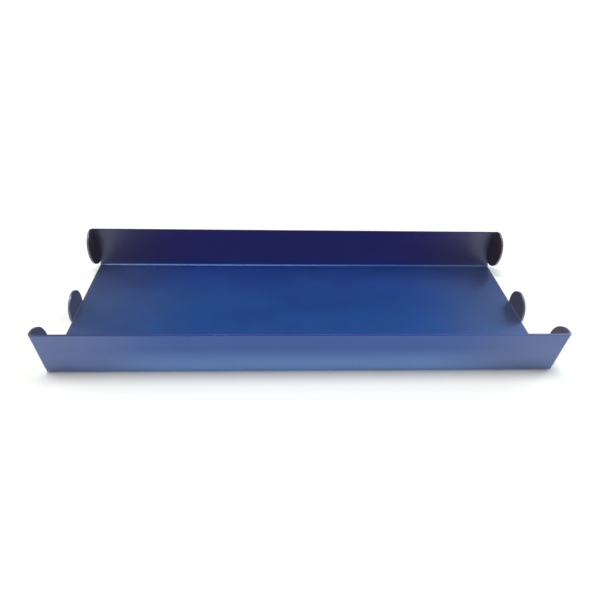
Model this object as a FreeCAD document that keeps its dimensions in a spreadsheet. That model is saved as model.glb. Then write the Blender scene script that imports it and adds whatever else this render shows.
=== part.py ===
import FreeCAD, Part
import Sketcher
import math
import os

from FreeCAD import Placement, Rotation, Vector

# Folded sheet-aluminium tray for rolled coins.  One blank is folded into nine panels: the
# floor, two long walls and six round stop tabs.  Every panel carries the bend that raises it
# and meets its neighbour face to face on the line where that bend starts, so together the
# nine panels fill exactly the volume of the one folded sheet.
# Millimetres.  +X runs along the length, +Y from the front wall to the back wall, +Z up.
# The origin is the middle of the footprint, on the underside of the floor.

OUT_DIR = "parts"

# alias, value or formula, what it measures (angles in degrees)
SIZES = [
    ("sheet", "1", "thickness of the sheet"),
    ("floor_length", "221", "floor, between its two sheared ends"),
    ("floor_width", "84.5", "floor, between the corners where the inner wall faces meet it"),
    ("wall_height", "21.4", "inner wall face, up the slope from that corner to the top edge"),
    ("wall_flare", "4", "lean of each long wall outward from upright"),
    ("end_rake", "4", "lean of each wall end outward from square"),
    ("wall_bend_radius", "1", "inside radius of the two long bends"),
    ("tab_bend_radius", "0.4", "inside radius of the six tab bends"),
    ("relief", "0.5", "width of the nick that frees each tab from the sheet beside it"),
    ("wall_fold_inset", "0.6", "start of a wall-end tab bend, inside the sheared end"),
    ("floor_fold_inset", "0.3", "start of a floor tab bend, inside the sheared end"),
    ("end_tab_radius", "9.8", "half width and end radius of a wall-end tab"),
    ("end_tab_neck", "0.2", "straight part of a wall-end tab before its round end"),
    ("floor_tab_radius", "8.3", "half width and end radius of a floor tab"),
    ("floor_tab_neck", "1.6", "straight part of a floor tab before its round end"),
    ("wall_bend_angle", "=90 - wall_flare", "turn of each long bend"),
    ("wall_setback", "=wall_bend_radius * tan(wall_bend_angle / 2)", "corner to start of bend"),
    ("floor_flat_width", "=floor_width - 2 * wall_setback", "flat of the floor between bends"),
    ("wall_flat_height", "=wall_height - wall_setback", "flat of a wall above its bend"),
    ("end_tab_height", "=wall_flat_height - end_tab_radius * cos(end_rake)", "middle of the tab"),
    ("stub_height", "=end_tab_height - end_tab_radius * cos(end_rake) - relief", "wall foot"),
    ("fold_at_foot", "=floor_length / 2 - wall_fold_inset", "centre to wall-end fold, at the bend"),
    ("fold_at_stub", "=fold_at_foot + stub_height * tan(end_rake)", "the same, above the foot"),
    ("fold_at_top", "=fold_at_foot + wall_flat_height * tan(end_rake)", "the same, at the top"),
]

ORIGIN, H_AXIS, V_AXIS = -1, -1, -2
START, END, CENTRE = 1, 2, 3


def make_sizes(doc):
    """Writes the table of driving dimensions, each value under its own alias."""
    sheet = doc.addObject("Spreadsheet::Sheet", "sizes")
    for row, (alias, value, note) in enumerate(SIZES, start=1):
        sheet.set(f"A{row}", alias)
        sheet.set(f"B{row}", value)
        sheet.set(f"C{row}", note)
        sheet.setAlias(f"B{row}", alias)
    doc.recompute()
    return sheet


class Sketch:
    """A sketch on one of a body's own origin planes, kept fully constrained."""

    def __init__(self, body, name, plane_role, lift=None):
        plane = next(f for f in body.Origin.OriginFeatures if f.Role == plane_role)
        self.obj = body.newObject("Sketcher::SketchObject", name)
        self.obj.AttachmentSupport = (plane, "")
        self.obj.MapMode = "FlatFace"
        if lift:
            self.obj.setExpression("AttachmentOffset.Base.z", lift)

    def rule(self, *terms):
        return self.obj.addConstraint(Sketcher.Constraint(*terms))

    def sized(self, expression, *terms):
        """Adds a dimension and drives it from the table of sizes."""
        self.obj.setExpression(f"Constraints[{self.rule(*terms)}]", expression)

    def line(self, start, end):
        return self.obj.addGeometry(Part.LineSegment(Vector(*start), Vector(*end)), False)

    def arc(self, centre, radius, start_deg, end_deg):
        circle = Part.Circle(Vector(*centre), Vector(0, 0, 1), radius)
        arc = Part.ArcOfCircle(circle, math.radians(start_deg), math.radians(end_deg))
        return self.obj.addGeometry(arc, False)

    def chain(self, pieces):
        """Joins curves end to start into a closed loop."""
        for here, there in zip(pieces, pieces[1:] + pieces[:1]):
            self.rule("Coincident", here, END, there, START)

    def locate(self, geometry, point, x, y):
        """Places a point; x and y are (value, expression), or None for on the axis."""
        for name, axis, size in (("DistanceX", V_AXIS, x), ("DistanceY", H_AXIS, y)):
            if size is None:
                self.rule("PointOnObject", geometry, point, axis)
            else:
                self.sized(size[1], name, ORIGIN, START, geometry, point, size[0])

    def box_outline(self, left, bottom, right, top):
        """Rectangle; each side is (value, expression)."""
        xs, ys = (left[0], right[0]), (bottom[0], top[0])
        corners = [(xs[0], ys[0]), (xs[1], ys[0]), (xs[1], ys[1]), (xs[0], ys[1])]
        lines = [self.line(corners[i], corners[(i + 1) % 4]) for i in range(4)]
        self.chain(lines)
        for i, edge in enumerate(lines):
            self.rule("Vertical" if i % 2 else "Horizontal", edge)
        self.locate(lines[0], START, left, bottom)
        self.locate(lines[2], START, right, top)

    def mirrored_outline(self, right_side):
        """Outline symmetrical about the vertical axis; right_side lists its right-hand
        corners upward, each as the (x, y) that locate() takes."""
        right = [(x[0], y[0] if y else 0) for x, y in right_side]
        corners = right + [(-x, y) for x, y in reversed(right)]
        count = len(corners)
        lines = [self.line(corners[i], corners[(i + 1) % count]) for i in range(count)]
        self.chain(lines)
        for i, (x, y) in enumerate(right_side):
            self.locate(lines[i], START, x, y)
            self.rule("Symmetric", lines[i], START, lines[count - 1 - i], START, V_AXIS)

    def bend_outline(self, inner, outer, turn, far_direction):
        """Ring sector about the origin, from the upper vertical axis turning left.

        far_direction drives the direction of the far edge; None puts it on the axis.
        """
        far = math.radians(90 + turn)
        near_edge = self.line((0, inner[0]), (0, outer[0]))
        far_edge = self.line(*[(r * math.cos(far), r * math.sin(far)) for r in (inner[0], outer[0])])
        for (radius, size), edge_end in ((inner, START), (outer, END)):
            arc = self.arc((0, 0), radius, 90, 90 + turn)
            self.rule("Coincident", arc, CENTRE, ORIGIN, START)
            self.rule("PointOnObject", arc, START, V_AXIS)
            self.rule("Coincident", near_edge, edge_end, arc, START)
            self.rule("Coincident", far_edge, edge_end, arc, END)
            self.sized(size, "Radius", arc, radius)
            if far_direction is None:
                self.rule("PointOnObject", arc, END, H_AXIS)
        if far_direction is not None:
            self.rule("PointOnObject", ORIGIN, START, far_edge)
            self.sized(far_direction, "Angle", far_edge, far)

    def tab_outline(self, radius, neck):
        """Straight neck standing on the horizontal axis, closed by a full round end."""
        r, top = radius[0], neck[0]
        base = self.line((-r, 0), (r, 0))
        right = self.line((r, 0), (r, top))
        tip = self.arc((0, top), r, 0, 180)
        left = self.line((-r, top), (-r, 0))
        self.chain([base, right, tip, left])
        self.rule("PointOnObject", base, START, H_AXIS)
        self.rule("Horizontal", base)
        self.rule("Vertical", right)
        self.rule("Vertical", left)
        self.rule("Horizontal", tip, START, tip, CENTRE)
        self.rule("Horizontal", tip, END, tip, CENTRE)
        self.locate(tip, CENTRE, None, neck)
        self.sized(radius[1], "Radius", tip, r)


def pad(body, name, sketch, length, symmetric=False):
    """Pads a sketch along its own normal, to one side or half to each side."""
    feature = body.newObject("PartDesign::Pad", name)
    feature.Profile = sketch.obj
    feature.Type = "Length"
    feature.SideType = "Symmetric" if symmetric else "One side"
    feature.setExpression("Length", length)
    body.Tip = feature


def cut(doc, body, name, sketch):
    """Cuts a sketch through the sheet, and stops if no metal was removed."""
    doc.recompute()
    before = body.Shape.Volume
    feature = body.newObject("PartDesign::Pocket", name)
    feature.Profile = sketch.obj
    feature.Type = "Length"
    feature.SideType = "Symmetric"
    feature.setExpression("Length", "4 * sizes.sheet")
    body.Tip = feature
    doc.recompute()
    if body.Shape.Volume >= before:
        raise RuntimeError(f"{name} removed nothing")


def make_floor(doc, s):
    """Flat floor with a shallow notch at each end, where a floor tab folds up."""
    body = doc.addObject("PartDesign::Body", "floor_panel")
    half_length = (s.floor_length / 2, "sizes.floor_length / 2")
    half_width = (s.floor_flat_width / 2, "sizes.floor_flat_width / 2")
    plate = Sketch(body, "floor_outline", "XY_Plane")
    plate.box_outline(minus(half_length), minus(half_width), half_length, half_width)
    pad(body, "floor_plate", plate, "sizes.sheet")

    near = (s.floor_length / 2 - s.floor_fold_inset, "sizes.floor_length / 2 - sizes.floor_fold_inset")
    far = (s.floor_length / 2 + s.relief, "sizes.floor_length / 2 + sizes.relief")
    side = (s.floor_tab_radius + s.relief, "sizes.floor_tab_radius + sizes.relief")
    for name, left, right in (("right", near, far), ("left", minus(far), minus(near))):
        notch = Sketch(body, f"{name}_notch_outline", "XY_Plane")
        notch.box_outline(left, minus(side), right, side)
        cut(doc, body, f"{name}_notch", notch)


def minus(size):
    value, expression = size
    return -value, f"-({expression})"


def folded_body(doc, label, axis_middle, up, outward):
    """Body for a panel raised by a bend, with its origin in the middle of the bend's axis.

    Body axes: X along the bend, Y up the raised panel, Z outward.
    """
    body = doc.addObject("PartDesign::Body", label)
    turn = Rotation(up.cross(outward), up, outward, "ZYX")
    body.Placement = Placement(axis_middle, turn)
    return body


def wall_axes(s, side):
    """Up-the-slope and outward directions of a long wall; side is -1 front, +1 back."""
    lean = math.radians(s.wall_flare)
    up = Vector(0, side * math.sin(lean), math.cos(lean))
    outward = Vector(0, side * math.cos(lean), -math.sin(lean))
    return up, outward


def wall_bend_axis(s, side):
    """Middle of a long bend's axis."""
    return Vector(0, side * s.floor_flat_width / 2, s.sheet + s.wall_bend_radius)


def make_wall(doc, s, label, side):
    """Long wall with its bend; its ends rake outward above a square foot."""
    up, outward = wall_axes(s, side)
    body = folded_body(doc, label, wall_bend_axis(s, side), up, outward)

    bend = Sketch(body, f"{label}_bend_outline", "YZ_Plane")
    inner = (s.wall_bend_radius, "sizes.wall_bend_radius")
    outer = (s.wall_bend_radius + s.sheet, "sizes.wall_bend_radius + sizes.sheet")
    bend.bend_outline(inner, outer, s.wall_bend_angle, "(90 + sizes.wall_bend_angle) * 1 deg")
    pad(body, f"{label}_bend", bend, "sizes.floor_length", symmetric=True)

    flat = Sketch(body, f"{label}_flat_outline", "XY_Plane", "sizes.wall_bend_radius")
    end = (s.floor_length / 2, "sizes.floor_length / 2")
    stub = (s.stub_height, "sizes.stub_height")
    top = (s.wall_flat_height, "sizes.wall_flat_height")
    flat.mirrored_outline(
        [
            (end, None),
            (end, stub),
            ((s.fold_at_stub, "sizes.fold_at_stub"), stub),
            ((s.fold_at_top, "sizes.fold_at_top"), top),
        ]
    )
    pad(body, f"{label}_flat", flat, "sizes.sheet")


def make_tab(doc, s, label, kind, fold_middle, up, outward):
    """Round stop tab with its bend; kind picks its sizes, up points from the fold to its tip.

    fold_middle is the middle of the line where the bend starts, on the sheet's inner face.
    """
    body = folded_body(doc, label, fold_middle + up * s.tab_bend_radius, up, outward)
    half_width = (getattr(s, f"{kind}_radius"), f"sizes.{kind}_radius")
    neck = (getattr(s, f"{kind}_neck"), f"sizes.{kind}_neck")

    bend = Sketch(body, f"{label}_bend_outline", "YZ_Plane")
    inner = (s.tab_bend_radius, "sizes.tab_bend_radius")
    outer = (s.tab_bend_radius + s.sheet, "sizes.tab_bend_radius + sizes.sheet")
    bend.bend_outline(inner, outer, 90, None)
    pad(body, f"{label}_bend", bend, f"2 * sizes.{kind}_radius", symmetric=True)

    flap = Sketch(body, f"{label}_flap_outline", "XY_Plane", "sizes.tab_bend_radius")
    flap.tab_outline(half_width, neck)
    pad(body, f"{label}_flap", flap, "sizes.sheet")


def make_floor_tab(doc, s, label, end):
    """Tab at the middle of a floor end, folded straight up; end is -1 left, +1 right."""
    fold = Vector(end * (s.floor_length / 2 - s.floor_fold_inset), 0, s.sheet)
    make_tab(doc, s, label, "floor_tab", fold, Vector(0, 0, 1), Vector(end, 0, 0))


def make_end_tab(doc, s, label, side, end):
    """Tab at one end of a long wall, folded in across the tray along the raked end."""
    slope, wall_out = wall_axes(s, side)
    rake = math.radians(s.end_rake)
    outward = Vector(end * math.cos(rake), 0, 0) - slope * math.sin(rake)
    foot = wall_bend_axis(s, side) + wall_out * s.wall_bend_radius
    reach = s.fold_at_foot + s.end_tab_height * math.tan(rake)
    fold = foot + Vector(end * reach, 0, 0) + slope * s.end_tab_height
    make_tab(doc, s, label, "end_tab", fold, wall_out * -1, outward)


def write_parts(doc):
    """Checks every object and writes each body as its own STEP file."""
    doc.recompute()
    for obj in doc.Objects:
        if "Invalid" in obj.State or "Error" in obj.State:
            raise RuntimeError(f"{obj.Label} is in state {obj.State}")
        if obj.TypeId == "Sketcher::SketchObject" and not obj.FullyConstrained:
            raise RuntimeError(f"{obj.Label} is not fully constrained")
    os.makedirs(OUT_DIR, exist_ok=True)
    for body in doc.Objects:
        if body.TypeId != "PartDesign::Body":
            continue
        if body.Shape.isNull() or not body.Shape.isValid() or len(body.Shape.Solids) != 1:
            raise RuntimeError(f"{body.Label} is not one valid solid")
        body.Shape.exportStep(os.path.join(OUT_DIR, f"{body.Label}.step"))
        print(f"{body.Label}: {body.Shape.Volume:.1f} mm3")


def main():
    doc = FreeCAD.newDocument("coin_tray")
    s = make_sizes(doc)
    make_floor(doc, s)
    for wall, side in (("front", -1), ("back", 1)):
        make_wall(doc, s, f"{wall}_wall", side)
        for hand, end in (("left", -1), ("right", 1)):
            make_end_tab(doc, s, f"{wall}_{hand}_end_tab", side, end)
    for hand, end in (("left", -1), ("right", 1)):
        make_floor_tab(doc, s, f"{hand}_floor_tab", end)
    write_parts(doc)


main()
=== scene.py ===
"""Folded aluminium tray for rolled coins: the looks of each panel, and a plain stage.

Laid out as an add-on.  Each panel of the folded sheet is made flat, with its cut edges
softened, and is then rolled round its own bend, so it meets its neighbours with no step.
"""

import math

import bmesh
import bpy
from bpy.props import FloatProperty, FloatVectorProperty, IntProperty, PointerProperty
from bpy.types import Operator, Panel, PropertyGroup
from bpy.utils import register_class, unregister_class
from mathutils import Matrix, Vector


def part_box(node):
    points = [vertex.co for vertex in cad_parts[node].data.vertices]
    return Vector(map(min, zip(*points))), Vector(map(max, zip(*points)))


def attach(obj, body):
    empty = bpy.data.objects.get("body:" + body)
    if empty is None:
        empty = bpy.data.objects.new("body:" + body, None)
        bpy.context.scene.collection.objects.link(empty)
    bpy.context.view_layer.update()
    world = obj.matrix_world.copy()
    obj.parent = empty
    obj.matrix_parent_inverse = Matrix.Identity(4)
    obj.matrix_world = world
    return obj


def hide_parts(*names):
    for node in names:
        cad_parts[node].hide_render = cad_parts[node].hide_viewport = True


bl_info = {
    "name": "Rolled Coin Tray",
    "version": (1, 0, 0),
    "blender": (4, 5, 0),
    "location": "View3D > Sidebar > Coin Tray",
    "description": "Builds a folded, blue anodised tray for rolled coins round its packed parts",
    "category": "Add Mesh",
}

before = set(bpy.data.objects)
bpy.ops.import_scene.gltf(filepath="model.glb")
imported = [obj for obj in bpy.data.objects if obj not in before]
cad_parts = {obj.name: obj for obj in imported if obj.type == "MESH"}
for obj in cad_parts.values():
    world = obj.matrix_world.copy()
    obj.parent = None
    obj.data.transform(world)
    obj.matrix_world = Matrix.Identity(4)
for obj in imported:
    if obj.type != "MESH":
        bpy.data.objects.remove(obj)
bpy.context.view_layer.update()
BODY = "root"

MM = 0.001
# Two points this near in height lie at the same level
FLAT_LEVEL = 1e-7
# Faces that turn less than this from each other share a normal: on broad faces, on rounded edges
SMOOTH_TURN = math.radians(25)
SOFT_TURN = math.radians(60)
# Facets across a rounded cut edge
EDGE_SEGMENTS = 3

# Names of the mesh attributes that the finish reads
BLANK = "blank"
CUT = "cut"

# Grain of the finish: cells to the metre along the tray, across it and through the sheet
ROLLING_GRAIN = (60, 1900, 900)
SATIN_GRAIN = (5200, 6400, 5200)
CLOUDS = (16, 26, 20)
SMUDGES = (48, 60, 50)
RUBS = (420, 420, 420)

# Zones of the finish, several of them painted shade, haze, sheen and reflection: where each starts, and
# where it is full.
# Through the sheet, from its inner face
OUTER_FACE = (0.4 * MM, 0.7 * MM)
# Across the flat blank, from its middle; the painted reflection on the outer foot beside a long bend,
# paler as if lit by the table, rises, then fades
FOOT_RISE = (30 * MM, 42 * MM)
FOOT_FADE = (41 * MM, 57 * MM)
# Across the flat blank too: the walls' inner faces take a painted shade, deeper and more violet
INNER_WALL = (41.5 * MM, 48 * MM)
# Along the flat blank, from its middle; the clouds shift the painted haze at the ends, paler and greyer as
# if reflecting the pale surroundings, this much
SHEET_END = (50 * MM, 116 * MM)
# Along the flat blank, the tabs' inner faces take a painted bronze sheen
TAB_FACE = (108.5 * MM, 113 * MM)
END_WANDER = 20 * MM

# Soft lights: name, bearing clockwise from the back, height above the table and spread in
# degrees, then the strength of its red, green and blue
SOFTBOXES = (
    ("top_softbox", 312, 82, 24, (1.80, 1.81, 1.76)),
    ("key_softbox", 240, 62, 45, (0.30, 0.33, 0.33)),
    ("right_softbox", 60, 38, 35, (0.84, 1.06, 1.12)),
    ("right_front_softbox", 125, 50, 60, (0.30, 0.35, 0.38)),
    ("front_softbox", 182, 22, 70, (0.76, 0.67, 0.60)),
    ("left_strip", 300, 12, 30, (1.20, 1.18, 1.12)),
    ("rear_right_softbox", 30, 62, 30, (0.14, 0.17, 0.16)),
    ("rear_left_softbox", 330, 50, 40, (0.06, 0.10, 0.12)),
)


# Sizes and colours a user would change


class TraySheet(PropertyGroup):
    wall_bend: FloatProperty(
        name="Wall bend", description="Inside radius of the long bends",
        default=1.0 * MM, unit="LENGTH", precision=4,
    )
    tab_bend: FloatProperty(
        name="Tab bend", description="Inside radius of the bends at the tabs",
        default=0.4 * MM, unit="LENGTH", precision=4,
    )
    flare: FloatProperty(
        name="Flare", description="Lean of the long walls outward from upright",
        default=math.radians(4), subtype="ANGLE",
    )
    rake: FloatProperty(
        name="Rake", description="Lean of the wall ends outward from square",
        default=math.radians(4), subtype="ANGLE",
    )
    wall_inset: FloatProperty(
        name="Wall fold inset", description="From the cut end of a wall in to where its tab bends",
        default=0.6 * MM, unit="LENGTH", precision=4,
    )
    floor_inset: FloatProperty(
        name="Floor fold inset", description="From the cut end of the floor in to where its tab bends",
        default=0.3 * MM, unit="LENGTH", precision=4,
    )
    relief: FloatProperty(
        name="Relief", description="Width of the nick beside each tab",
        default=0.5 * MM, unit="LENGTH", precision=4,
    )
    end_tab: FloatProperty(
        name="End tab", description="Half width of a tab on a wall end",
        default=9.8 * MM, unit="LENGTH", precision=4,
    )
    end_neck: FloatProperty(
        name="End tab neck", description="Straight part of a wall-end tab before it rounds",
        default=0.2 * MM, unit="LENGTH", precision=4,
    )
    floor_tab: FloatProperty(
        name="Floor tab", description="Half width of a tab on a floor end",
        default=8.3 * MM, unit="LENGTH", precision=4,
    )
    floor_neck: FloatProperty(
        name="Floor tab neck", description="Straight part of a floor tab before it rounds",
        default=1.6 * MM, unit="LENGTH", precision=4,
    )
    edge: FloatProperty(
        name="Edge", description="Rounding of the tumbled cut edges",
        default=0.14 * MM, unit="LENGTH", precision=5,
    )
    bend_steps: IntProperty(
        name="Bend steps", description="Facets across each bend", default=16, min=4,
    )
    round_steps: IntProperty(
        name="Round steps", description="Facets round the end of each tab", default=40, min=12,
    )


class TrayFinish(PropertyGroup):
    dye: FloatVectorProperty(
        name="Dye", description="Main colour of the dyed oxide",
        default=(0.0020, 0.074, 0.350), subtype="COLOR",
    )
    dye_pale: FloatVectorProperty(
        name="Pale dye", description="Colour where the oxide took less dye",
        default=(0.0070, 0.087, 0.370), subtype="COLOR",
    )
    dye_deep: FloatVectorProperty(
        name="Deep dye", description="Colour where the oxide took more dye",
        default=(0.0015, 0.062, 0.330), subtype="COLOR",
    )
    # Painted haze: paler, greyer towards the ends of the sheet, standing in for the pale surroundings
    # reflected there
    end_painted_haze: FloatVectorProperty(
        name="End dye", description="Colour that the dye fades to at the ends of the sheet",
        default=(0.066, 0.104, 0.275), subtype="COLOR",
    )
    # Painted shade and haze: the walls' inner faces go greyer and darker at their ends, beside the tabs
    wall_end_painted_haze: FloatVectorProperty(
        name="Wall end dye", description="Greyer colour that the walls' inner faces fade to at their ends",
        default=(0.054, 0.052, 0.125), subtype="COLOR",
    )
    # Painted sheen: the tabs' bronze cast stands in for the reddish sheen the blue dye shows at a grazing
    # view
    tab_painted_sheen: FloatVectorProperty(
        name="Tab dye", description="Bronzed colour of the small tabs",
        default=(0.225, 0.178, 0.195), subtype="COLOR",
    )
    dye_edge: FloatVectorProperty(
        name="Edge dye", description="Darker colour of the rounded cut edges",
        default=(0.006, 0.030, 0.130), subtype="COLOR",
    )
    dye_outside: FloatVectorProperty(
        name="Outside dye", description="Colour of the outer faces",
        default=(0.001, 0.060, 0.280), subtype="COLOR",
    )
    # Painted shade and reflection: the walls' inner faces deeper and more violet, standing in for the
    # shade of the hollow and the warm light reflected in it
    inside_painted_shade: FloatVectorProperty(
        name="Inside dye", description="Deeper, more violet colour of the walls' inner faces",
        default=(0.082, 0.060, 0.300), subtype="COLOR",
    )
    # Painted reflection: outer faces paler beside the long bends, standing in for the lit table reflected
    # there
    foot_painted_reflection: FloatVectorProperty(
        name="Foot dye", description="Paler colour where the outside rubs beside the long bends",
        default=(0.150, 0.300, 0.630), subtype="COLOR",
    )
    bare: FloatVectorProperty(
        name="Rubbed edge", description="Colour of the metal where a cut edge is rubbed",
        default=(0.06, 0.12, 0.30), subtype="COLOR",
    )
    roughness: FloatProperty(
        name="Roughness", description="Satin of the etched sheet under its oxide",
        default=0.46, min=0.05, max=1.0, subtype="FACTOR",
    )


class TrayStage(PropertyGroup):
    floor_size: FloatProperty(
        name="Floor size", description="Side of the square studio floor", default=6.0, unit="LENGTH",
    )
    floor_colour: FloatVectorProperty(
        name="Floor colour", description="Pale studio floor",
        default=(0.97, 0.955, 0.935), subtype="COLOR",
    )
    surround: FloatProperty(
        name="Surround", description="Brightness of the studio all round", default=0.07, min=0.0,
    )
    backdrop: FloatProperty(
        name="Backdrop", description="Brightness of the plain backdrop behind the floor",
        default=1.05, min=0.0,
    )
    softboxes: FloatProperty(
        name="Softboxes", description="Brightness of all the soft lights together",
        default=1.0, min=0.0,
    )
    focal_length: FloatProperty(
        name="Focal length", description="Camera lens, in millimetres", default=31.17, min=10.0,
    )
    eye: FloatVectorProperty(
        name="Eye", description="Where the camera stands",
        default=(-0.01379, -0.20792, 0.16087), subtype="TRANSLATION",
    )
    heading: FloatProperty(
        name="Heading", description="Turn of the camera to its left", default=-0.06322, subtype="ANGLE",
    )
    tilt: FloatProperty(
        name="Tilt", description="Downward tilt of the camera", default=0.63474, subtype="ANGLE",
    )
    roll: FloatProperty(
        name="Roll", description="Lean of the camera", default=0.03900, subtype="ANGLE",
    )


# Shader trees as expressions


class Wire:
    """One output of a shader tree; expressions on wires add their own Math nodes."""

    def __init__(self, shader, socket):
        self.shader = shader
        self.socket = socket

    def math(self, operation, *others):
        inputs = dict(enumerate((self, *others)))
        return self.shader.node("ShaderNodeMath", {"operation": operation}, inputs)

    def __add__(self, other):
        return self.math("ADD", other)

    __radd__ = __add__

    def __sub__(self, other):
        return self.math("SUBTRACT", other)

    def __rsub__(self, other):
        return (self * -1) + other

    def __mul__(self, other):
        return self.math("MULTIPLY", other)

    __rmul__ = __mul__

    def between(self, low, high):
        """0 below low, 1 above high, with a smooth rise."""
        return self.shader.node(
            "ShaderNodeMapRange",
            {"interpolation_type": "SMOOTHSTEP"},
            {"Value": self, "From Min": low, "From Max": high},
        )


class Shader:
    """The node tree of a material or world, with one method that adds any node."""

    def __init__(self, owner):
        owner.use_nodes = True
        self.tree = owner.node_tree
        self.tree.nodes.clear()

    def node(self, kind, settings=None, inputs=None, output=0):
        """Adds a node: its settings first, then the values or links of its sockets."""
        made = self.tree.nodes.new(kind)
        for key, value in (settings or {}).items():
            setattr(made, key, value)
        for key, value in (inputs or {}).items():
            socket = made.inputs[key] if isinstance(key, int) else self.named(made.inputs, key)
            if isinstance(value, Wire):
                self.tree.links.new(value.socket, socket)
            else:
                socket.default_value = value
        if not made.outputs:
            return None
        outlet = made.outputs[output] if isinstance(output, int) else self.named(made.outputs, output)
        return Wire(self, outlet)

    @staticmethod
    def named(sockets, name):
        """The socket in use among those that share a name."""
        return next(s for s in sockets if s.name == name and s.enabled)

    def blend(self, factor, low, high):
        """Mixes two colours."""
        low, high = (c if isinstance(c, Wire) else (*c, 1.0) for c in (low, high))
        return self.node(
            "ShaderNodeMix", {"data_type": "RGBA"}, {"Factor": factor, "A": low, "B": high}, "Result"
        )

    def noise(self, place, grain, detail=2.0, roughness=0.5):
        """Noise with so many cells to the metre along each axis."""
        stretched = self.node("ShaderNodeVectorMath", {"operation": "MULTIPLY"}, {0: place, 1: grain})
        return self.node(
            "ShaderNodeTexNoise",
            {},
            {"Vector": stretched, "Scale": 1.0, "Detail": detail, "Roughness": roughness},
        )


def anodised_sheet():
    """Dyed satin oxide on rolled aluminium; its grain follows the flat blank round the bends. Its zones
    add painted shade, haze, sheen and reflection.
    """
    name = "anodised_sheet"
    if name in bpy.data.materials:
        return bpy.data.materials[name]
    look = bpy.context.scene.tray_finish
    material = bpy.data.materials.new(name)
    s = Shader(material)
    place = s.node("ShaderNodeAttribute", {"attribute_name": BLANK}, output="Vector")
    cut = s.node("ShaderNodeAttribute", {"attribute_name": CUT}, output="Fac")

    rolling = s.noise(place, ROLLING_GRAIN, 3.0, 0.6)
    satin = s.noise(place, SATIN_GRAIN, 2.0, 0.6)
    cloud = s.noise(place, CLOUDS, 3.0, 0.55)
    smudge = s.noise(place, SMUDGES, 2.0, 0.5)

    pale = cloud.between(0.35, 0.70)
    deep = (1 - cloud).between(0.52, 0.72) * 0.5
    streaks = (rolling - 0.5).between(0.02, 0.22) * 0.35
    dye = s.blend(pale, look.dye, look.dye_pale)
    dye = s.blend(deep, dye, look.dye_deep)
    dye = s.blend(streaks, dye, look.dye_pale)

    along, across, depth = (
        s.node("ShaderNodeSeparateXYZ", {}, {"Vector": place}, axis).math("ABSOLUTE") for axis in "XYZ"
    )
    outer = depth.between(*OUTER_FACE)
    # Painted reflection: the paler foot of the outer faces beside the long bends
    foot = outer * across.between(*FOOT_RISE) * (1 - across.between(*FOOT_FADE))
    inside = (1 - outer) * across.between(*INNER_WALL)
    # Painted haze: paler and greyer towards the ends of the sheet, its start wandering with the clouds
    end = (along + (cloud - 0.5) * END_WANDER).between(*SHEET_END)
    # Painted sheen: bronze cast on the tabs' inner faces
    tab = (1 - outer) * along.between(*TAB_FACE)
    # From here on, dye also carries painted shade, haze, sheen and reflection
    dye = s.blend(outer, dye, look.dye_outside)
    # Painted reflection laid on the outer foot
    dye = s.blend(foot * 0.9, dye, look.foot_painted_reflection)
    # Painted shade and reflection: deeper, more violet inner faces of the walls
    dye = s.blend(inside * 0.9, dye, look.inside_painted_shade)
    # Painted haze at the ends; on the walls' inner faces it is painted shade as well
    dye = s.blend(end, dye, s.blend(inside, look.end_painted_haze, look.wall_end_painted_haze))
    dye = s.blend(tab, dye, look.tab_painted_sheen)

    rubbed = cut * s.noise(place, RUBS, 3.0, 0.6).between(0.50, 0.72)
    colour = s.blend(rubbed * 0.45, s.blend(cut * 0.9, dye, look.dye_edge), look.bare)
    roughness = look.roughness + (rolling - 0.5) * 0.20 + (smudge - 0.5) * 0.14 - rubbed * 0.08
    height = rolling * 0.55 + satin * 0.45
    normal = s.node("ShaderNodeBump", {}, {"Strength": 0.7, "Distance": 0.1 * MM, "Height": height})
    surface = s.node(
        "ShaderNodeBsdfPrincipled",
        {},
        {
            "Base Color": colour,
            "Metallic": 1.0,
            "Roughness": roughness,
            "Normal": normal,
            "Coat Weight": 1 - cut * 0.95,
            "Coat Roughness": 0.3,
            "Coat IOR": 1.58,
            "Sheen Weight": 0.14,
            "Sheen Roughness": 0.35,
            "Sheen Tint": (1.0, 0.65, 0.6, 1.0),
        },
    )
    s.node("ShaderNodeOutputMaterial", {}, {"Surface": surface})
    return material


# Panels: a flat plate with softened cut edges, rolled round its bend


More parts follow.
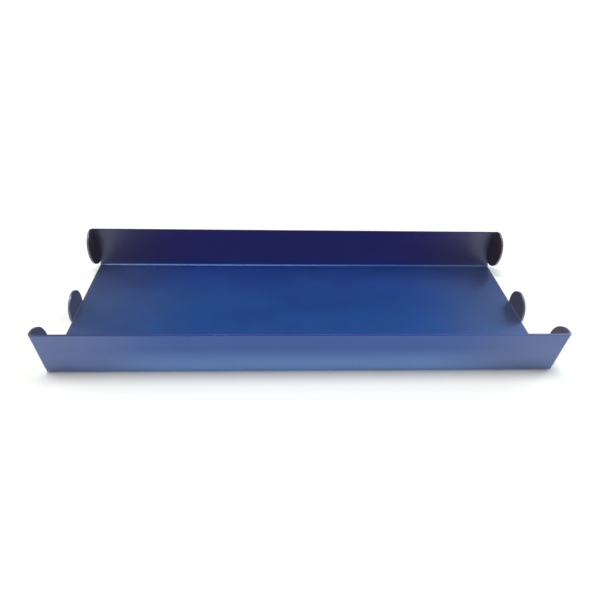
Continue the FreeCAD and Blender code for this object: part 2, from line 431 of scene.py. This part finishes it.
class Plate:
    """A flat plate in its own plane: x along the fold, y away from it, z from the inner face
    (0) to the outer face (thickness).

    outline lists (x, y, is_cut) anticlockwise; is_cut says that the edge from this corner
    to the next is a free, sheared edge rather than a join to the next panel.
    """

    def __init__(self, outline, thickness, edge):
        self.bm = bmesh.new()
        self.soft = self.bm.faces.layers.int.new("soft")
        base = [self.bm.verts.new((x, y, 0.0)) for x, y, _ in outline]
        top = [self.bm.verts.new((x, y, thickness)) for x, y, _ in outline]
        self.bm.faces.new(list(reversed(base)))
        self.bm.faces.new(top)
        count = len(outline)
        sides = []
        for i, (_, _, is_cut) in enumerate(outline):
            j = (i + 1) % count
            sides.append((self.bm.faces.new((base[i], base[j], top[j], top[i])), is_cut))
        self.soften(sides, edge)

    def soften(self, sides, edge):
        """Rounds the cut edges, and the upright corners between two of them."""
        chosen = set()
        free = {face for face, is_cut in sides if is_cut}
        for face in free:
            for e in face.edges:
                upright = abs(e.verts[0].co.z - e.verts[1].co.z) > FLAT_LEVEL
                corner = set(e.link_faces) <= free and e.calc_face_angle(0.0) > SMOOTH_TURN
                if corner or not upright:
                    chosen.add(e)
        made = bmesh.ops.bevel(
            self.bm, geom=list(chosen), offset=edge, offset_type="OFFSET", segments=EDGE_SEGMENTS,
            profile=0.5, affect="EDGES", clamp_overlap=True,
        )
        for face in made["faces"]:
            face[self.soft] = 1

    def slice(self, heights):
        """Adds edge loops across the plate at these distances from the fold."""
        for y in heights:
            geometry = self.bm.verts[:] + self.bm.edges[:] + self.bm.faces[:]
            bmesh.ops.bisect_plane(
                self.bm, geom=geometry, dist=FLAT_LEVEL, plane_co=(0, y, 0), plane_no=(0, 1, 0)
            )

    def corner_normals(self):
        """Normal at every corner of every face: flat faces stay flat, rounded edges blend."""
        normals = []
        for face in self.bm.faces:
            for loop in face.loops:
                limit = SOFT_TURN if face[self.soft] else SMOOTH_TURN
                near = [g for g in loop.vert.link_faces if face.normal.angle(g.normal, 0.0) < limit]
                broad = [g for g in near if not g[self.soft]]
                total = sum((g.normal * g.calc_area() for g in broad or near), Vector())
                normals.append(total.normalized())
        return normals


class Fold:
    """Where a plate goes: a bend about an axis, then flat along up.

    axis_middle is the middle of the bend's axis; up runs from the bend along the panel and
    outward from the hollow.  The first run of the plate, down to -length, takes the bend.
    """

    def __init__(self, axis_middle, up, outward, radius, turn):
        self.middle = axis_middle
        self.along = up.cross(outward)
        self.up = up
        self.outward = outward
        self.radius = radius
        self.turn = turn
        self.length = radius * turn

    def axes(self, y):
        """The panel's own up and outward at y, and how far y runs along the flat part."""
        bent = min(max(-y, 0.0), self.length)
        angle = bent / self.radius if bent else 0.0
        up = self.up * math.cos(angle) + self.outward * math.sin(angle)
        outward = self.outward * math.cos(angle) - self.up * math.sin(angle)
        return up, outward, y + bent

    def point(self, co):
        _, outward, flat = self.axes(co.y)
        return self.middle + self.along * co.x + self.up * flat + outward * (self.radius + co.z)

    def direction(self, co, normal):
        up, outward, _ = self.axes(co.y)
        return self.along * normal.x + up * normal.y + outward * normal.z


def add_panel(name, plate, fold, on_blank):
    """Turns a plate into a shown panel; on_blank gives a point's place on the flat blank."""
    bm = plate.bm
    if fold.turn:
        steps = bpy.context.scene.tray_sheet.bend_steps
        plate.slice([-fold.length * k / steps for k in range(steps)])
    bm.normal_update()
    bm.verts.index_update()
    normals = plate.corner_normals()
    spots = [loop.vert.co.copy() for face in bm.faces for loop in face.loops]
    normals = [fold.direction(co, n) for co, n in zip(spots, normals)]
    blank = [c for v in bm.verts for c in on_blank(v.co)]
    cut = [float(f[plate.soft]) for f in bm.faces]
    for v in bm.verts:
        v.co = fold.point(v.co)
    bm.faces.layers.int.remove(plate.soft)
    mesh = bpy.data.meshes.new(name)
    bm.to_mesh(mesh)
    bm.free()
    mesh.attributes.new(BLANK, "FLOAT_VECTOR", "POINT").data.foreach_set("vector", blank)
    mesh.attributes.new(CUT, "FLOAT", "FACE").data.foreach_set("value", cut)
    mesh.polygons.foreach_set("use_smooth", [True] * len(mesh.polygons))
    mesh.normals_split_custom_set(normals)
    mesh.materials.append(anodised_sheet())
    panel = bpy.data.objects.new(name, mesh)
    bpy.context.scene.collection.objects.link(panel)
    return panel


def stands_for(panel, node):
    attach(panel, BODY)
    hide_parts(node)


def sheet_measures():
    """Sizes of the floor as packed: cut half length, half width between bends, thickness."""
    low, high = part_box("floor_panel")
    return high.x, high.y, high.z - low.z


def wall_axes(side):
    """Up-the-slope and outward directions of a long wall; side is -1 front, 1 back."""
    flare = bpy.context.scene.tray_sheet.flare
    up = Vector((0, side * math.sin(flare), math.cos(flare)))
    outward = Vector((0, side * math.cos(flare), -math.sin(flare)))
    return up, outward


def wall_fold(side):
    half_length, half_width, thickness = sheet_measures()
    sheet = bpy.context.scene.tray_sheet
    up, outward = wall_axes(side)
    middle = Vector((0, side * half_width, thickness + sheet.wall_bend))
    return Fold(middle, up, outward, sheet.wall_bend, math.pi / 2 - sheet.flare)


def wall_flat_height():
    """From the end of the long bend up the slope to the wall's top edge."""
    _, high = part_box("front_wall")
    up, outward = wall_axes(-1)
    sheet = bpy.context.scene.tray_sheet
    fold = wall_fold(-1)
    return (high.z - fold.middle.z - outward.z * fold.radius) / up.z


def tab_plate(half_width, neck, bend_length, thickness):
    """Outline of a round tab, from the start of its bend to its tip."""
    sheet = bpy.context.scene.tray_sheet
    outline = [(-half_width, -bend_length, False), (half_width, -bend_length, True)]
    steps = sheet.round_steps
    for k in range(steps + 1):
        angle = math.pi * k / steps
        outline.append((half_width * math.cos(angle), neck + half_width * math.sin(angle), True))
    return Plate(outline, thickness, sheet.edge)


def mirrored(right):
    """The outline's right-hand corners and their mirror image; a join closes it."""
    edges = [is_cut for _, _, is_cut in reversed(right[:-1])] + [False]
    return right + [(-x, y, is_cut) for (x, y, _), is_cut in zip(reversed(right), edges)]


class TRAY_OT_floor(Operator):
    """Flat floor, with a shallow notch at each end for its tab"""

    bl_idname = "tray.floor"
    bl_label = "Floor"

    def execute(self, context):
        sheet = context.scene.tray_sheet
        half_length, half_width, thickness = sheet_measures()
        fold_x = half_length - sheet.floor_inset
        gap = sheet.floor_tab + sheet.relief
        right = [
            (half_length, -half_width, True),
            (half_length, -gap, True),
            (fold_x, -gap, True),
            (fold_x, -sheet.floor_tab, False),
            (fold_x, sheet.floor_tab, True),
            (fold_x, gap, True),
            (half_length, gap, True),
            (half_length, half_width, False),
        ]
        left = [(-x, -y, is_cut) for x, y, is_cut in right]
        plate = Plate(right + left, thickness, sheet.edge)
        flat = Fold(Vector((0, 0, thickness)), Vector((0, 1, 0)), Vector((0, 0, -1)), 0.0, 0.0)
        panel = add_panel("floor", plate, flat, lambda co: (-co.x, co.y, co.z))
        stands_for(panel, "floor_panel")
        return {"FINISHED"}


class TRAY_OT_walls(Operator):
    """Two long walls with their bends, raked at the ends above a square foot"""

    bl_idname = "tray.walls"
    bl_label = "Walls"

    def execute(self, context):
        sheet = context.scene.tray_sheet
        half_length, half_width, thickness = sheet_measures()
        height = wall_flat_height()
        tab_foot = height - 2 * sheet.end_tab * math.cos(sheet.rake)
        stub = tab_foot - sheet.relief

        def fold_x(y):
            return half_length - sheet.wall_inset + y * math.tan(sheet.rake)

        for name, side in (("front_wall", -1), ("back_wall", 1)):
            fold = wall_fold(side)
            half = [
                (half_length, -fold.length, True),
                (half_length, stub, True),
                (fold_x(stub), stub, True),
                (fold_x(tab_foot), tab_foot, False),
                (fold_x(height), height, True),
            ]
            plate = Plate(mirrored(half), thickness, sheet.edge)
            offset = half_width + fold.length

            def on_blank(co, side=side, offset=offset):
                return -side * co.x, side * (offset + co.y), co.z

            stands_for(add_panel(f"{name}_sheet", plate, fold, on_blank), name)
        return {"FINISHED"}


class TRAY_OT_end_tabs(Operator):
    """Round tabs folded in across the tray from the ends of the walls"""

    bl_idname = "tray.end_tabs"
    bl_label = "End tabs"

    def execute(self, context):
        sheet = context.scene.tray_sheet
        half_length, half_width, thickness = sheet_measures()
        middle_height = wall_flat_height() - sheet.end_tab * math.cos(sheet.rake)
        reach = half_length - sheet.wall_inset + middle_height * math.tan(sheet.rake)
        for wall, side in (("front", -1), ("back", 1)):
            wall_bend = wall_fold(side)
            foot = wall_bend.middle + wall_bend.outward * wall_bend.radius
            for hand, end in (("left", -1), ("right", 1)):
                along = Vector((end * math.cos(sheet.rake), 0, 0))
                outward = along - wall_bend.up * math.sin(sheet.rake)
                up = -wall_bend.outward
                middle = foot + Vector((end * reach, 0, 0)) + wall_bend.up * middle_height
                fold = Fold(middle + up * sheet.tab_bend, up, outward, sheet.tab_bend, math.pi / 2)
                plate = tab_plate(sheet.end_tab, sheet.end_neck, fold.length, thickness)
                start_along = end * (reach + fold.length)
                start_across = side * (half_width + wall_bend.length + middle_height)

                def on_blank(co, end=end, x=start_along, y=start_across):
                    return x + end * co.y, y + end * co.x, co.z

                panel = add_panel(f"{wall}_{hand}_end_tab_sheet", plate, fold, on_blank)
                stands_for(panel, f"{wall}_{hand}_end_tab")
        return {"FINISHED"}


class TRAY_OT_floor_tabs(Operator):
    """Round tabs folded up from the middle of the floor's ends"""

    bl_idname = "tray.floor_tabs"
    bl_label = "Floor tabs"

    def execute(self, context):
        sheet = context.scene.tray_sheet
        half_length, _, thickness = sheet_measures()
        reach = half_length - sheet.floor_inset
        for hand, end in (("left", -1), ("right", 1)):
            middle = Vector((end * reach, 0, thickness + sheet.tab_bend))
            up, outward = Vector((0, 0, 1)), Vector((end, 0, 0))
            fold = Fold(middle, up, outward, sheet.tab_bend, math.pi / 2)
            plate = tab_plate(sheet.floor_tab, sheet.floor_neck, fold.length, thickness)
            start = end * (reach + fold.length)

            def on_blank(co, start=start, end=end):
                return start + end * co.y, end * co.x, co.z

            stands_for(add_panel(f"{hand}_floor_tab_sheet", plate, fold, on_blank), f"{hand}_floor_tab")
        return {"FINISHED"}


class TRAY_OT_stage(Operator):
    """Pale floor, soft lights and the camera"""

    bl_idname = "tray.stage"
    bl_label = "Stage"

    def execute(self, context):
        self.add_floor(context)
        self.add_lights(context)
        self.add_camera(context)
        context.scene.view_settings.view_transform = "Standard"
        return {"FINISHED"}

    def add_floor(self, context):
        stage = context.scene.tray_stage
        bm = bmesh.new()
        bmesh.ops.create_grid(bm, x_segments=1, y_segments=1, size=stage.floor_size / 2)
        mesh = bpy.data.meshes.new("studio_floor")
        bm.to_mesh(mesh)
        bm.free()
        material = bpy.data.materials.new("studio_floor")
        s = Shader(material)
        surface = s.node("ShaderNodeBsdfDiffuse", {}, {"Color": (*stage.floor_colour, 1.0)})
        s.node("ShaderNodeOutputMaterial", {}, {"Surface": surface})
        mesh.materials.append(material)
        floor = bpy.data.objects.new("studio_floor", mesh)
        context.scene.collection.objects.link(floor)

    def add_lights(self, context):
        stage = context.scene.tray_stage
        world = bpy.data.worlds.new("studio")
        s = Shader(world)
        white = (1.0, 1.0, 1.0, 1.0)
        fill = s.node("ShaderNodeBackground", {}, {"Color": white, "Strength": stage.surround})
        backdrop = s.node("ShaderNodeBackground", {}, {"Color": white, "Strength": stage.backdrop})
        seen = s.node("ShaderNodeLightPath", output="Is Camera Ray")
        surface = s.node("ShaderNodeMixShader", {}, {0: seen, 1: fill, 2: backdrop})
        s.node("ShaderNodeOutputWorld", {}, {"Surface": surface})
        context.scene.world = world
        for name, bearing, height, spread, strength in SOFTBOXES:
            light = bpy.data.lights.new(name, "SUN")
            light.angle = math.radians(spread)
            light.energy = max(strength) * stage.softboxes
            light.color = [c / max(strength) for c in strength]
            lamp = bpy.data.objects.new(name, light)
            turn, lift = math.radians(bearing), math.radians(height)
            level = Vector((math.sin(turn), math.cos(turn), 0))
            toward = level * math.cos(lift) + Vector((0, 0, math.sin(lift)))
            lamp.rotation_euler = (-toward).to_track_quat("-Z", "Y").to_euler()
            context.scene.collection.objects.link(lamp)

    def add_camera(self, context):
        stage = context.scene.tray_stage
        lens = bpy.data.cameras.new("camera")
        lens.lens = stage.focal_length
        lens.clip_start = 0.01
        camera = bpy.data.objects.new("camera", lens)
        camera.matrix_world = (
            Matrix.Translation(stage.eye)
            @ Matrix.Rotation(stage.heading, 4, "Z")
            @ Matrix.Rotation(-stage.tilt, 4, "X")
            @ Matrix.Rotation(-stage.roll, 4, "Y")
            @ Matrix.Rotation(math.pi / 2, 4, "X")
        )
        context.scene.collection.objects.link(camera)
        context.scene.camera = camera


class TRAY_PT_panel(Panel):
    """Lists the tray's sizes, colours and steps"""

    bl_idname = "TRAY_PT_panel"
    bl_label = "Coin Tray"
    bl_space_type = "VIEW_3D"
    bl_region_type = "UI"
    bl_category = "Coin Tray"

    def draw(self, context):
        column = self.layout.column()
        for group in (context.scene.tray_sheet, context.scene.tray_finish, context.scene.tray_stage):
            for key in group.__annotations__:
                column.prop(group, key)
        for step in STEPS:
            column.operator(step.bl_idname)


GROUPS = {"tray_sheet": TraySheet, "tray_finish": TrayFinish, "tray_stage": TrayStage}
STEPS = (TRAY_OT_floor, TRAY_OT_walls, TRAY_OT_end_tabs, TRAY_OT_floor_tabs, TRAY_OT_stage)


def register():
    for cls in (*GROUPS.values(), *STEPS, TRAY_PT_panel):
        register_class(cls)
    for name, group in GROUPS.items():
        setattr(bpy.types.Scene, name, PointerProperty(type=group))


def unregister():
    for name in GROUPS:
        delattr(bpy.types.Scene, name)
    for cls in reversed((*GROUPS.values(), *STEPS, TRAY_PT_panel)):
        unregister_class(cls)


def main():
    register()
    for step in STEPS:
        group, _, call = step.bl_idname.partition(".")
        getattr(getattr(bpy.ops, group), call)()


if __name__ == "__main__":
    main()
